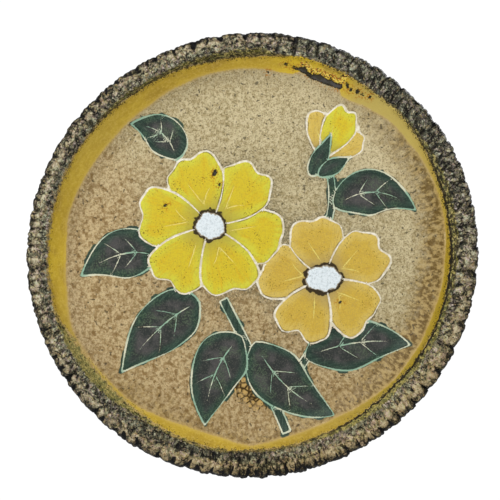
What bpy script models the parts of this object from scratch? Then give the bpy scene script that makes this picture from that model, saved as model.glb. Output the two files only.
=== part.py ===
"""A hand-built stoneware wall plate: a flat floor that sweeps up to a broad raised rim, pinched into
finger-wide lobes all round, with a foot ring on the back that is pierced twice for a hanging wire.

Metres, +Z up. The plate hangs upright: its decorated face looks along -Y, and the wall is the plane
y = 0, which the foot ring lies flat against. The origin is on the foot ring's flat back face, at the
top, between the two wire holes. Heights are measured from the wall towards the viewer."""

import math

import bmesh
import bpy
from mathutils import Matrix, Vector

# The outline, seen from the front: a circle drawn out a little along one axis
PLATE_RADIUS = 0.170
OUT_OF_ROUND = 0.0034
LONG_AXIS_ANGLE = math.radians(24.0)

# The rim: a raised band, pinched all round
RIM_WIDTH = 0.0195
RIM_THICKNESS = 0.0150
RIM_STEP = 0.0045
LOBE_COUNT = 62
NOTCH_DEPTH = 0.0019
CRACK_DEPTH = 0.0028
PINCH_ROUNDNESS = 0.6

# Fingers crowd the lobes in places and widen them in others: waves round the rim, each with its
# count and where it starts, and how much they stretch a lobe in all
LOBE_WAVES = ((3, 0.5), (7, 2.0), (17, 1.0))
LOBE_STRETCH = 0.11
LOBE_DIFFERENCE = 0.2

# The rim's section, from its back edge over the crest to the step: the share of its width in from
# the outline, the share of its thickness up from its back, and how much of the notch and the crack
# between two lobes, and of the well's shift, that line takes
RIM_SECTION = (
    (0.26, 0.00, 0.5, 0.0, 0.0),
    (0.04, 0.16, 0.8, 0.0, 0.0),
    (0.00, 0.45, 1.0, 0.0, 0.0),
    (0.12, 0.83, 1.0, 0.7, 0.0),
    (0.45, 1.00, 0.6, 1.0, 0.4),
    (0.87, 0.93, 0.0, 0.7, 0.9),
)

# The well: the curved wall and the flat floor inside the rim, a little off the outline's middle
WALL_WIDTH = 0.0225
WALL_RISE = 0.0120
WALL_BANDS = 4
WALL_CURVE = 1.7
FLOOR_THICKNESS = 0.0090
WELL_SHIFT = 0.0030
WELL_SHIFT_ANGLE = math.radians(139.0)

# The underside, which follows the wall at the thickness of the clay
BACK_BANDS = 3
BACK_CURVE = 1.3

# The foot ring on the back, and the wire holes through it
FOOT_RADIUS = 0.102
FOOT_WIDTH = 0.0100
FOOT_HEIGHT = 0.0085
FOOT_EDGE = 0.0010
HOLE_DIAMETER = 0.0042
HOLE_ANGLE = math.radians(12.0)
HOLE_OVERSHOOT = 0.0030
HOLE_SIDES = 16

# How finely a lobe is cut into faces, and the smooth surfaces inside and behind the rim
FACES_PER_LOBE = 6
SMOOTH_FACES_PER_LOBE = 2

# Heights and radii that follow from the sizes above
FLOOR_HEIGHT = FOOT_HEIGHT + FLOOR_THICKNESS
WALL_TOP_HEIGHT = FLOOR_HEIGHT + WALL_RISE
CREST_HEIGHT = WALL_TOP_HEIGHT + RIM_STEP
RIM_BACK_HEIGHT = CREST_HEIGHT - RIM_THICKNESS
FLOOR_INSET = RIM_WIDTH + WALL_WIDTH
HANGING_RADIUS = FOOT_RADIUS - FOOT_WIDTH / 2

RIM_BROWN = (0.090, 0.075, 0.055)
GROUND_BEIGE = (0.460, 0.370, 0.220)
BAND_OCHRE = (0.550, 0.360, 0.050)
BACK_BUFF = (0.330, 0.250, 0.170)
SHARP_EDGE = math.radians(35.0)


def pinched_angle(turn):
    """The direction of a point that lies at turn (0 to 2 pi) in an even count of lobes."""
    waves = sum(math.sin(count * turn + start) / count for count, start in LOBE_WAVES)
    return turn + LOBE_STRETCH * waves


def lobe_swell(turn):
    """0 in the crack between two lobes and 1 on the back of a lobe."""
    place = turn * LOBE_COUNT / (2 * math.pi)
    return math.sin(math.pi * (place % 1.0)) ** PINCH_ROUNDNESS


def crack_strength(turn):
    """How strongly the crack nearest to this point is pressed in, from lightly to 1."""
    nearest_crack = round(turn * LOBE_COUNT / (2 * math.pi)) % LOBE_COUNT
    return 1 - LOBE_DIFFERENCE * (1 - math.sin(nearest_crack * math.sqrt(5.8)))


def outline_radius(angle):
    """The distance from the middle to the outer edge, which is least across the long axis."""
    return PLATE_RADIUS - OUT_OF_ROUND * math.sin(angle - LONG_AXIS_ANGLE) ** 2


class PinchedRing:
    """One closed line round the plate, at its distance in from the outline and its height, with the
    share of the notch, the crack and the well's shift that it takes."""

    def __init__(self, inset, height, notch=0.0, crack=0.0, shift=0.0):
        self.inset = inset
        self.height = height
        self.notch = notch
        self.crack = crack
        self.shift = shift

    def point(self, turn):
        angle = pinched_angle(turn)
        pressed = (1 - lobe_swell(turn)) * crack_strength(turn)
        shift = WELL_SHIFT * math.cos(angle - WELL_SHIFT_ANGLE)
        radius = outline_radius(angle) - self.inset + self.shift * shift - self.notch * NOTCH_DEPTH * pressed
        height = self.height - self.crack * CRACK_DEPTH * pressed
        return Vector((radius * math.cos(angle), -height, radius * math.sin(angle)))


class RoundRing:
    """A true circle round the middle, at its radius and height."""

    def __init__(self, radius, height):
        self.radius = radius
        self.height = height

    def point(self, turn):
        return Vector((self.radius * math.cos(turn), -self.height, self.radius * math.sin(turn)))


def rim_rings():
    """The raised band, from its back edge over the crest to the foot of the step into the well."""
    rings = []
    for across, up, notch, crack, shift in RIM_SECTION:
        height = RIM_BACK_HEIGHT + RIM_THICKNESS * up
        rings.append(PinchedRing(RIM_WIDTH * across, height, notch, crack, shift))
    rings.append(PinchedRing(RIM_WIDTH, WALL_TOP_HEIGHT, shift=1.0))
    return rings


def wall_rings():
    """The concave sweep from the step down to the floor, steep at the top and flat at its end."""
    rings = []
    for band in range(1, WALL_BANDS + 1):
        share = band / WALL_BANDS
        across = math.sin(share * math.pi / 2)
        height = FLOOR_HEIGHT + WALL_RISE * (1 - across) ** WALL_CURVE
        rings.append(PinchedRing(RIM_WIDTH + WALL_WIDTH * across, height, shift=1 - share / 2))
    return rings


def back_rings():
    """The underside from the rim's back edge to the flat of the base."""
    start = RIM_WIDTH * RIM_SECTION[0][0]
    rings = []
    for band in range(1, BACK_BANDS + 1):
        share = band / BACK_BANDS
        height = FOOT_HEIGHT + (RIM_BACK_HEIGHT - FOOT_HEIGHT) * (1 - share) ** BACK_CURVE
        rings.append(PinchedRing(start + (FLOOR_INSET - start) * share, height))
    return rings


def foot_rings():
    """The square foot ring with softened edges, from its outer side round to the recess inside it."""
    inner = FOOT_RADIUS - FOOT_WIDTH
    return [
        RoundRing(FOOT_RADIUS, FOOT_HEIGHT),
        RoundRing(FOOT_RADIUS, FOOT_EDGE),
        RoundRing(FOOT_RADIUS - FOOT_EDGE, 0.0),
        RoundRing(inner + FOOT_EDGE, 0.0),
        RoundRing(inner, FOOT_EDGE),
        RoundRing(inner, FOOT_HEIGHT),
    ]


def add_rings(mesh, rings, faces_per_lobe):
    """The vertices of each ring, in even steps of its turn."""
    count = LOBE_COUNT * faces_per_lobe
    turns = [2 * math.pi * step / count for step in range(count)]
    return [[mesh.verts.new(ring.point(turn)) for turn in turns] for ring in rings]


def join_rings(mesh, fine, coarse, material):
    """Faces between two rings. The first may have a whole number of times as many vertices as the
    second, and then each of the second's edges meets a fan of them."""
    ratio = len(fine) // len(coarse)
    middle = ratio // 2
    for step, near in enumerate(coarse):
        far = coarse[(step + 1) % len(coarse)]
        arc = [fine[(step * ratio + part) % len(fine)] for part in range(ratio + 1)]
        for part in range(ratio):
            corner = near if part < middle else far
            mesh.faces.new((arc[part], arc[part + 1], corner)).material_index = material
        mesh.faces.new((near, arc[middle], far)).material_index = material


def join_all(mesh, loops, material):
    """Faces between each loop and the next."""
    for outer, inner in zip(loops, loops[1:]):
        join_rings(mesh, outer, inner, material)


def close_ring(mesh, ring, height, material):
    """A flat disc of narrow triangles that closes a ring at its middle."""
    centre = mesh.verts.new((0.0, -height, 0.0))
    for step, vertex in enumerate(ring):
        following = ring[(step + 1) % len(ring)]
        mesh.faces.new((vertex, following, centre)).material_index = material


def fired_surface(name, colour, roughness):
    """A plain fired clay or glaze."""
    material = bpy.data.materials.new(name)
    material.use_nodes = True
    shader = material.node_tree.nodes["Principled BSDF"]
    shader.inputs["Base Color"].default_value = (*colour, 1.0)
    shader.inputs["Roughness"].default_value = roughness
    shader.inputs["Metallic"].default_value = 0.0
    return material


def model_plate():
    """The whole plate as one closed mesh: rim, well, underside and foot ring."""
    rim, ground, band, back = range(4)
    mesh = bmesh.new()
    rim_loops = add_rings(mesh, rim_rings(), FACES_PER_LOBE)
    wall_loops = add_rings(mesh, wall_rings(), SMOOTH_FACES_PER_LOBE)
    back_loops = add_rings(mesh, back_rings() + foot_rings(), SMOOTH_FACES_PER_LOBE)
    join_all(mesh, rim_loops, rim)
    join_rings(mesh, rim_loops[-1], wall_loops[0], band)
    join_all(mesh, wall_loops, ground)
    close_ring(mesh, wall_loops[-1], FLOOR_HEIGHT, ground)
    join_rings(mesh, rim_loops[0], back_loops[0], back)
    join_all(mesh, back_loops, back)
    close_ring(mesh, back_loops[-1], FOOT_HEIGHT, back)
    bmesh.ops.recalc_face_normals(mesh, faces=mesh.faces[:])
    return mesh


def make_plate():
    """The plate as an object, hung so that the top of its foot ring is at the origin."""
    mesh = model_plate()
    data = bpy.data.meshes.new("wall_plate")
    mesh.to_mesh(data)
    mesh.free()
    data.materials.append(fired_surface("rim_clay", RIM_BROWN, 0.55))
    data.materials.append(fired_surface("speckled_ground", GROUND_BEIGE, 0.35))
    data.materials.append(fired_surface("ochre_band", BAND_OCHRE, 0.30))
    data.materials.append(fired_surface("buff_back", BACK_BUFF, 0.80))
    data.shade_smooth()
    data.set_sharp_from_angle(angle=SHARP_EDGE)
    plate = bpy.data.objects.new("wall_plate", data)
    plate.location = (0.0, 0.0, -HANGING_RADIUS)
    bpy.context.collection.objects.link(plate)
    return plate


def drill_wire_hole(plate, side):
    """One of the two wire holes, which runs straight out from the middle through the foot ring."""
    lean = side * HOLE_ANGLE
    mesh = bmesh.new()
    bmesh.ops.create_cone(
        mesh, cap_ends=True, segments=HOLE_SIDES, radius1=HOLE_DIAMETER / 2, radius2=HOLE_DIAMETER / 2,
        depth=FOOT_WIDTH + 2 * HOLE_OVERSHOOT, matrix=Matrix.Rotation(lean, 4, "Y"))
    data = bpy.data.meshes.new(f"wire_hole_{side}")
    mesh.to_mesh(data)
    mesh.free()
    cutter = bpy.data.objects.new(data.name, data)
    bpy.context.collection.objects.link(cutter)
    cutter.parent = plate
    outward = Vector((math.sin(lean), 0.0, math.cos(lean)))
    cutter.location = outward * HANGING_RADIUS + Vector((0.0, -FOOT_HEIGHT / 2, 0.0))
    cutter.display_type = "WIRE"
    cutter.hide_render = True
    hole = plate.modifiers.new(data.name, "BOOLEAN")
    hole.operation = "DIFFERENCE"
    hole.object = cutter


for leftover in list(bpy.data.objects):
    bpy.data.objects.remove(leftover)

wall_plate = make_plate()
for hole_side in (-1, 1):
    drill_wire_hole(wall_plate, hole_side)
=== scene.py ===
import bpy
import numpy as np
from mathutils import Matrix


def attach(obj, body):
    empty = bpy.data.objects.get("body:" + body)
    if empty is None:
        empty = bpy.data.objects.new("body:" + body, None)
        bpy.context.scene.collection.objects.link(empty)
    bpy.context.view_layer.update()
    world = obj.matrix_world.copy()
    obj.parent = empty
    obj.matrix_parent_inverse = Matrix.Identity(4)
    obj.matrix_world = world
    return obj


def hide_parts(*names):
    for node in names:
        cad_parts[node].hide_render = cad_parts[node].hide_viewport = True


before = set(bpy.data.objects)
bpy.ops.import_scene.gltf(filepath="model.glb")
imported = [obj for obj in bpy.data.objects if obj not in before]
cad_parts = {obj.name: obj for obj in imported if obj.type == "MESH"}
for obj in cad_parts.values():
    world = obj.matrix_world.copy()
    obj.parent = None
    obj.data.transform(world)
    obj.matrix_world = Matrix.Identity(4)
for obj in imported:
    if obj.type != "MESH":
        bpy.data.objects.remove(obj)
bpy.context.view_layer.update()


# The clay body
# One plate of grogged stoneware: a flat floor and a curved wall pressed over a form, and a thick coil
# laid round the edge and pinched down lobe by lobe. The lines repeat the CAD solid's own formulas, in
# millimetres, and add the finer marks that the fingers and a comb left in the rim.

PLATE_RADIUS = 170.0
OUT_OF_ROUND = 3.4
LONG_AXIS_ANGLE = np.radians(24.0)
LOBE_COUNT = 62
LOBE_WAVES = ((3, 0.5), (7, 2.0), (17, 1.0))
LOBE_STRETCH = 0.11
LOBE_DIFFERENCE = 0.2
PINCH_ROUNDNESS = 0.6
NOTCH_DEPTH = 1.9
CRACK_DEPTH = 2.8

RIM_WIDTH = 19.5
RIM_THICKNESS = 15.0
RIM_BACK_HEIGHT = 19.0
WALL_WIDTH = 22.5
WALL_RISE = 12.0
WALL_CURVE = 1.7
FLOOR_HEIGHT = 17.5
WELL_SHIFT = 3.0
WELL_SHIFT_ANGLE = np.radians(139.0)
PLATE_MIDDLE_BELOW_ORIGIN = 97.0

FLOOR_CELLS = 184
WALL_RINGS = 16
ROUND_WALL = 4 * FLOOR_CELLS
ROUND_RIM = 2 * ROUND_WALL
RIM_MIDDLE_RADIUS = 162
HALF_LOBE = np.pi * RIM_MIDDLE_RADIUS / LOBE_COUNT


def held(value):
    """The value, held between 0 and 1."""
    return np.clip(value, 0, 1)


def eased(share):
    """A share that leaves 0 and comes to 1 gently: three times its square less twice its cube."""
    return share * share * (3 - 2 * share)


def turns(count):
    """Equal turns round the plate, from the viewer's right and on anticlockwise."""
    return np.arange(count) * 2 * np.pi / count


def compass(turn):
    """The point at each turn of a circle whose radius is 1."""
    return np.stack([np.cos(turn), np.sin(turn)], axis=-1)


def placed(radius, turn, height):
    """Points at a radius and turn round the plate's middle and a height in front of the wall."""
    radius, turn, height = np.broadcast_arrays(radius, turn, height)
    return np.stack([radius * np.cos(turn), -height, radius * np.sin(turn)], axis=-1)


def pinched(turn):
    """The angle that a turn round the plate comes to: the turn, plus three waves that crowd the lobes."""
    return turn + LOBE_STRETCH * sum(np.sin(count * turn + start) / count for count, start in LOBE_WAVES)


def pressed(turn):
    """How far the clay is pressed in, 0 on a lobe's crest and 1 at the crack beside it: what a half wave,
    raised to the pinch's roundness, leaves over, times the strength of that crack."""
    place = turn * LOBE_COUNT / (2 * np.pi)
    swell = np.abs(np.sin(np.pi * (place % 1))) ** PINCH_ROUNDNESS
    strength = 1 - LOBE_DIFFERENCE * (1 - np.sin(np.round(place) % LOBE_COUNT * np.sqrt(5.8)))
    return (1 - swell) * strength


def ring(turn, inset, height, notch=0.0, crack=0.0, shift=0.0):
    """Points of a ring: the outline's radius at each angle, less the inset and the notch between two
    lobes, plus a share of the well's shift, at the height less the crack. A column of insets fills a grid."""
    angle = pinched(turn)
    radius = (PLATE_RADIUS - OUT_OF_ROUND * np.sin(angle - LONG_AXIS_ANGLE) ** 2 - inset
              + shift * WELL_SHIFT * np.cos(angle - WELL_SHIFT_ANGLE) - notch * NOTCH_DEPTH * pressed(turn))
    return placed(radius, angle, height - crack * CRACK_DEPTH * pressed(turn))


def grain(points, size, seed):
    """Soft random hills from -0.5 to 0.5, one size wide: a random height at each corner of a grid of cubes,
    and inside a cube the eight heights mixed by eased shares along the axes."""
    place = points / size + seed * np.array([17.3, 5.1, 9.7])
    cell = np.floor(place)
    way = eased(place - cell)
    total = -0.5
    for corner in np.ndindex(2, 2, 2):
        share = np.where(corner, way, 1 - way).prod(axis=-1)
        mixed_up = np.sin((cell + corner) @ np.array([12.9898, 78.233, 37.719])) * 43758.5453
        total += share * (mixed_up % 1)
    return total


def smooth_run(knots, steps):
    """A smooth run through rows of numbers: between two rows it is the cubic that leaves and meets them
    along the line that joins their neighbours."""
    rows = np.vstack([2 * knots[0] - knots[1], knots, 2 * knots[-1] - knots[-2]])
    pieces = []
    for first, count in enumerate(steps):
        before, start, end, after = rows[first:first + 4]
        t = np.arange(count)[:, None] / count
        bend = (2 * before - 5 * start + 4 * end - after) * t ** 2
        twist = (3 * start - before - 3 * end + after) * t ** 3
        pieces.append(0.5 * (2 * start + (end - before) * t + bend + twist))
    return np.vstack(pieces + [knots[-1:]])


def disc(cells, edge):
    """A disc cut into a square grid of cells without a pole: squares in the grid become circles on the
    disc, each corner at its share of the way from the middle to the edge point at the same turn. Gives the
    points, the share and turn of each, the grid's corner numbers, and the corners round its edge."""
    across, up = np.meshgrid(*2 * [np.linspace(-1, 1, cells + 1)], indexing="ij")
    wide = np.abs(across) >= np.abs(up)
    share = np.where(wide, across, up)
    safe = np.where(share == 0, 1, share)
    turn = np.where(wide, np.pi / 4 * up / safe, np.pi / 2 - np.pi / 4 * across / safe)
    turn = (turn + np.pi * (share < 0)) % (2 * np.pi)
    share = np.abs(share)
    points = edge(turn)
    points[..., 0::2] *= share[..., None]
    corner = np.arange((cells + 1) ** 2).reshape(cells + 1, cells + 1)
    loop = np.concatenate([corner[-1, :-1], corner[:0:-1, -1], corner[0, :0:-1], corner[:-1, 0]])
    return points, share, turn, corner, np.roll(loop, -cells // 2)


# The rim's section, from its back edge over the crest to the step: the share of its width in from the
# outline, the share of its thickness up from its back, and how much notch, crack and shift it takes
rim_knots = np.array([
    (0.26, 0.00, 0.5, 0.0, 0.0),
    (0.04, 0.16, 0.8, 0.0, 0.0),
    (0.00, 0.45, 1.0, 0.0, 0.0),
    (0.12, 0.83, 1.0, 0.7, 0.0),
    (0.45, 1.00, 0.6, 1.0, 0.4),
    (0.87, 0.93, 0.0, 0.7, 0.9),
    (1.00, 0.70, 0.0, 0.0, 1.0),
])
rim_section = smooth_run(rim_knots, (2, 3, 5, 6, 7, 3))
rim_inset = RIM_WIDTH * rim_section[:, :1]
rim_height = RIM_BACK_HEIGHT + RIM_THICKNESS * rim_section[:, 1:2]
rim_arc = np.cumsum(np.hypot(np.diff(rim_inset[:, 0], prepend=rim_inset[0, 0]),
                             np.diff(rim_height[:, 0], prepend=rim_height[0, 0])))[:, None]
rim_turn = turns(ROUND_RIM) + 0 * rim_inset
rim_angle = np.degrees(pinched(rim_turn)) % 360
rim_share = [rim_section[:, column, None] for column in (2, 3, 4)]
inward = np.where(np.arange(len(rim_inset))[:, None] < 5, -0.5, 1) * rim_inset


def round_plate(where, *stops):
    """A number that changes round the plate: straight between its stops, each an angle and a value."""
    stops = np.array(stops, dtype=float)
    return np.interp(where, stops[:, 0], stops[:, 1], period=360)


def lot(number, seed, low=0.0, high=1.0):
    """A value between low and high for each whole number, as if drawn by lot."""
    return low + (high - low) * (np.sin(number * 12.9898 + seed * 78.233) * 43758.5453 % 1)


# Each lobe leans out on one side, like a ratchet's tooth, and the fine clay half fills the notches and
# swells the outline here and there
tooth = (rim_turn * LOBE_COUNT / (2 * np.pi) % 1 - 0.5) * np.exp(-(inward / 5) ** 2)
tooth *= round_plate(
    rim_angle, (0, 1.2), (60, 1.1), (90, 0.5), (150, 0.2), (220, 0.4), (260, 1.0), (330, 1.3))
filled = 0.5 * NOTCH_DEPTH * pressed(rim_turn) + round_plate(
    rim_angle, (0, 0.4), (15, 0.7), (30, 1.1), (45, 0.35), (75, 0.25), (105, 0.1), (135, 0.05),
    (150, 0.5), (180, 0.5), (195, 0), (210, -0.2), (225, 0), (240, 0.6), (255, 0.5), (270, 0.9),
    (285, 0.75), (300, 0.5), (315, 0.35), (345, 0.5))
tooth += filled * np.exp(-(inward / 8) ** 2)
rim_points = ring(rim_turn, rim_inset - tooth, rim_height, *rim_share)

# Where two fingers met, a wedge is pressed into the outer edge, two to a lobe, one large and one small.
# Farther in are the dents of the fingertips, which draw out into slanted creases at the upper right
half_lobe = rim_turn * LOBE_COUNT / np.pi + 0.5 * grain(rim_points, 14, 3)
number = np.round(half_lobe)
beside = (half_lobe - number) * HALF_LOBE + 2.6 * grain(rim_points, 4.2, 11)
large = number % 2 == 0
number = number % (2 * LOBE_COUNT)
small_wedge = round_plate(rim_angle, (0, 0.8), (80, 0.5), (130, 0.8), (175, 2.0), (265, 2.6), (300, 1.6))
wedge_wide = np.where(large, lot(number, 1, 1.2, 2.3), small_wedge * lot(number, 2))
wedge_wide += round_plate(rim_angle, (84, 0), (94, 0.7), (130, 0.6), (142, 0))
wedge_long = lot(number, 3, 4, 9.5)
wedge = wedge_wide * held(1 - inward / wedge_long) ** 0.6
creased = round_plate(rim_angle, (0, 0.5), (15, 1), (82, 1), (100, 0), (335, 0))
wedge_lean = lot(number, 4, -0.4, 0.4) - 0.3 * creased
wedge -= np.abs(beside - wedge_lean * inward) + np.maximum(inward - wedge_long, 0)
dent_middle = lot(number, 5, 11.25, 14.75) - 1.5 * creased
dent_wide = lot(number, 6, 1.3, 2.6) * (1 - 0.3 * creased)
dent_long = lot(number, 7, 2.4, 4.6) + 2.2 * creased
dent_lean = lot(number, 8, -0.4, 0.4) - 0.4 * creased
dent_across = (beside - lot(number, 9, -1.5, 1.5) - dent_lean * (inward - dent_middle)) / dent_wide
dent = (1 - np.hypot(dent_across, (inward - dent_middle) / dent_long)) * dent_wide
dent -= round_plate(
    rim_angle, (0, 0.7), (30, 0.2), (80, 0.1), (100, 1.1), (125, 0.8), (145, 0), (205, 0.1), (225, 1.0),
    (260, 1.2), (300, 1.3), (335, 0.9))
NO_HOLLOW = -4
hollow = np.clip(np.maximum(wedge, dent), NO_HOLLOW, 3)
# How dark the dents and wedges go: the dark glaze pooled in them, with painted shade laid in as well
dent_pool_and_shade = round_plate(
    rim_angle, (0, 0.5), (60, 0.5), (88, 0.35), (170, 0.26), (200, 0.34), (230, 0.55), (260, 0.55),
    (330, 0.4))
wedge_pool_and_shade = round_plate(
    rim_angle, (0, 0.6), (45, 0.5), (82, 0.6), (92, 0.95), (130, 0.8), (145, 0.5), (185, 0.45),
    (205, 0.7), (228, 1.0), (295, 1.0), (315, 0.7), (335, 0.55))
pooled_glaze_and_shade = np.where(wedge > dent, wedge_pool_and_shade, dent_pool_and_shade)

# Between two marks the glaze has often run off a smooth swelling and left a tan patch
which = np.floor(half_lobe) % (2 * LOBE_COUNT)
patch_across = (half_lobe % 1 - 0.5) * HALF_LOBE - lot(which, 12, -1, 1)
patch_middle = lot(which, 13, 4.6, 7) + round_plate(rim_angle, (100, 1.0), (160, 2.0), (215, 0), (300, 0))
one_to_a_lobe = round_plate(rim_angle, (255, 0), (275, 1), (305, 1), (325, 0))
patch_wide = lot(which, 14, 2.4, 4.8) * (1 - one_to_a_lobe) + lot(which, 14, 4.3, 5.5) * one_to_a_lobe
patch_long = lot(which, 15, 2.6, 4.4)
patch = 1 - np.hypot(patch_across / patch_wide, (inward - patch_middle) / patch_long)
patch = held(2.2 * (patch + 0.9 * grain(rim_points, 2.8, 12)))
patch *= held(lot(which, 16, 0, 2.6) + one_to_a_lobe)
patch *= np.where(which % 2 == 0, 1, 1 - 0.85 * one_to_a_lobe)
patch *= round_plate(
    rim_angle, (0, 0.5), (20, 0.25), (45, 0.1), (75, 0.2), (95, 0.7), (130, 0.5), (155, 0.8), (200, 0.6),
    (225, 0.9), (255, 0.9), (300, 1.0), (330, 0.9), (350, 0.6))
sunk = eased(held(hollow / 1.6 + 0.35))

# The finer marks: lumps, comb strokes that cross the rim aslant, four or so to a lobe, and pits
front_share = held((rim_arc - 5) / 6) * held((rim_arc[-1] - rim_arc) / 3)
edge_share = np.exp(-((rim_arc - 11) / 5) ** 2)
comb_turn = 247 * rim_turn + 0.11 * rim_arc * np.sin(3 * rim_turn + 1) + 7 * grain(rim_points, 19, 3)
comb = (0.5 + 0.5 * np.cos(comb_turn)) ** 2.5 * held(1.9 * grain(rim_points, 11, 4) + 0.6)
lumps = 1.25 * grain(rim_points, 4.6, 5) + 0.75 * grain(rim_points, 2.2, 6)
pits = held(grain(rim_points, 3.1, 7) - 0.12)
rise = front_share * (0.9 * lumps - comb * (0.3 + 0.5 * edge_share) - 1.4 * pits)
press = 0.25 + 0.85 * held((inward - 1) / 3)
rise -= press * sunk * held(rim_arc / 5) * held((rim_arc[-1] - rim_arc) / 2)
lean_in = np.gradient(rim_height[:, 0])[:, None]
lean_up = np.gradient(rim_inset[:, 0])[:, None]
lean = np.hypot(lean_in, lean_up)
outward = ring(rim_turn, rim_inset - tooth - lean_in / lean, rim_height + lean_up / lean, *rim_share)
rim_points += (outward - rim_points) * rise[..., None]
rim_relief = 1.2 * lumps - 0.8 * comb - 1.2 * pits + 0.15

wall_across = np.arange(WALL_RINGS)[1:, None] / WALL_RINGS
wall_inset = RIM_WIDTH + WALL_WIDTH * wall_across
wall_height = FLOOR_HEIGHT + WALL_RISE * (1 - wall_across) ** WALL_CURVE
wall_turn = turns(ROUND_WALL) + 0 * wall_across
wall_points = ring(wall_turn, wall_inset, wall_height, shift=1 - wall_across / 2)

floor_points, floor_share, floor_turn, floor_corner, floor_edge = disc(
    FLOOR_CELLS, lambda turn: ring(turn, RIM_WIDTH + WALL_WIDTH, FLOOR_HEIGHT, shift=0.5))

# The slab is never quite flat
front_points = np.vstack([floor_points.reshape(-1, 3), wall_points.reshape(-1, 3)])
front_points[:, 1] += 0.5 * grain(front_points, 55, 8) + 0.12 * grain(front_points, 9, 9)
front_points = np.vstack([front_points, rim_points.reshape(-1, 3)])
flat_across = front_points[:, 0]
flat_up = front_points[:, 2]


# The incised drawing
# The potter scratched a spray of blossoms through the raw glaze with a blunt needle and laid coloured
# glazes inside the lines. The spray here is a plain textbook one, worked out by formula.

# Each corner of the mesh learns how deep it lies in each colour, how far it is from the nearest line, on
# which side of it, and half that line's width, all in millimetres
FAR = 30.0
NO_LINE = 9.0
SHAPE_REACH = 16.0
LINE_REACH = 4.0
ARCH_POINTS = 40
PETAL_POINTS = 76
BUTTON_POINTS = 40
depth = {colour: np.full(len(front_points), -FAR) for colour in ("lemon", "ochre", "leaf", "button")}
line, line_side = np.full((2, len(front_points)), NO_LINE)
line_half, line_tone = np.zeros((2, len(front_points)))
brush = np.zeros((len(front_points), 3))
flat_points = np.stack([flat_across, flat_up], axis=-1)


def near(path, margin):
    """The numbers of the corners inside the path's box and a margin round it."""
    low, high = path.min(axis=0) - margin, path.max(axis=0) + margin
    return np.nonzero(((flat_points > low) & (flat_points < high)).all(axis=1))[0]


def reach(points, starts, ends):
    """Each point's distance to the nearest of the straight segments, and which one that is: the way to the
    foot of its perpendicular, held between the segment's ends."""
    way = ends - starts
    from_start = points[:, None] - starts
    along = held((from_start * way).sum(-1) / np.maximum((way * way).sum(-1), 1e-9))
    away = np.hypot(*np.moveaxis(from_start - along[..., None] * way, -1, 0))
    nearest = away.argmin(axis=1)
    return away[np.arange(len(points)), nearest], nearest


def within(points, starts, ends):
    """Whether each point lies inside the outline: a ray to the right crosses it an odd number of times."""
    x, y = points[:, None, 0], points[:, None, 1]
    crosses = (starts[:, 1] > y) != (ends[:, 1] > y)
    fall = np.where(ends[:, 1] == starts[:, 1], 1, ends[:, 1] - starts[:, 1])
    meets = starts[:, 0] + (ends[:, 0] - starts[:, 0]) * (y - starts[:, 1]) / fall
    return (crosses & (x < meets)).sum(1) % 2 == 1


def hand(count, seed, low, high):
    """The width of a hand-cut line along its length: two slow waves between the low and the high width."""
    sway = 0.5 + 0.3 * np.sin(2 * turns(count) + seed) + 0.2 * np.sin(5 * turns(count) + 2.7 * seed)
    return low + (high - low) * sway


def cut_line(chosen, away, old, side, half, tone):
    """Where the new line is nearer than the old one, its distance, side, half width and tone take over."""
    line[chosen] = np.minimum(old, away)
    for numbers, new in ((line_side, side), (line_half, half), (line_tone, tone)):
        numbers[chosen] = np.where(away < old, new, numbers[chosen])


def lay_glaze(colour, outline, tone, seed, widths, stroke):
    """Lays one closed shape of a colour over what is there: its corners take its own depth, the colours
    under it end at its edge, the lines it covers go, and its outline is cut afresh. The stroke gives how
    far points are along the way of the brush and across it."""
    chosen = near(outline, SHAPE_REACH)
    points = flat_points[chosen]
    ends = np.roll(outline, -1, axis=0)
    away, nearest = reach(points, outline, ends)
    inside = within(points, outline, ends)
    signed = np.where(inside, away, -away)
    for other in depth:
        old = depth[other][chosen]
        if other == colour:
            kept = np.where(old > 0, np.minimum(old, -signed), np.maximum(old, signed))
            depth[other][chosen] = np.where(inside, signed, kept)
        else:
            depth[other][chosen] = np.minimum(old, -signed)
    half = hand(len(outline), seed, *widths)[nearest]
    cut_line(chosen, away, np.where(inside, NO_LINE, line[chosen]), signed, half, tone)
    brushed = np.column_stack([stroke(points), np.full(len(points), seed)])
    brush[chosen] = np.where(inside[:, None], brushed, brush[chosen])
    return chosen[inside]


def scratch(path, tone, seed, widths, only):
    """Cuts an open line along a path, thin at both ends, where the corners are among the given ones."""
    chosen = np.intersect1d(near(path, LINE_REACH), only)
    away, nearest = reach(flat_points[chosen], path[:-1], path[1:])
    share = (np.arange(len(path) - 1) + 0.5) / (len(path) - 1)
    half = hand(len(path) - 1, seed, *widths) * np.sin(np.pi * share ** 0.7) ** 0.5 - 0.06
    run = (path[1:] - path[:-1])[nearest]
    beside = flat_points[chosen] - path[:-1][nearest]
    side = np.where(run[:, 0] * beside[:, 1] > run[:, 1] * beside[:, 0], away, -away)
    cut_line(chosen, away, line[chosen], side, half[nearest], tone)


def arch(base, bend, tip):
    """A bent line: it leaves the base towards the bend and comes to the tip from it."""
    t = np.linspace(0, 1, ARCH_POINTS)[:, None]
    return (1 - t) ** 2 * base + 2 * t * (1 - t) * bend + t ** 2 * tip


def square_to(path):
    """At each point of a path, a step of 1 mm to its left."""
    run = np.gradient(path, axis=0)
    return np.stack([-run[:, 1], run[:, 0]], axis=-1) / np.hypot(*run.T)[:, None]


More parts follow.
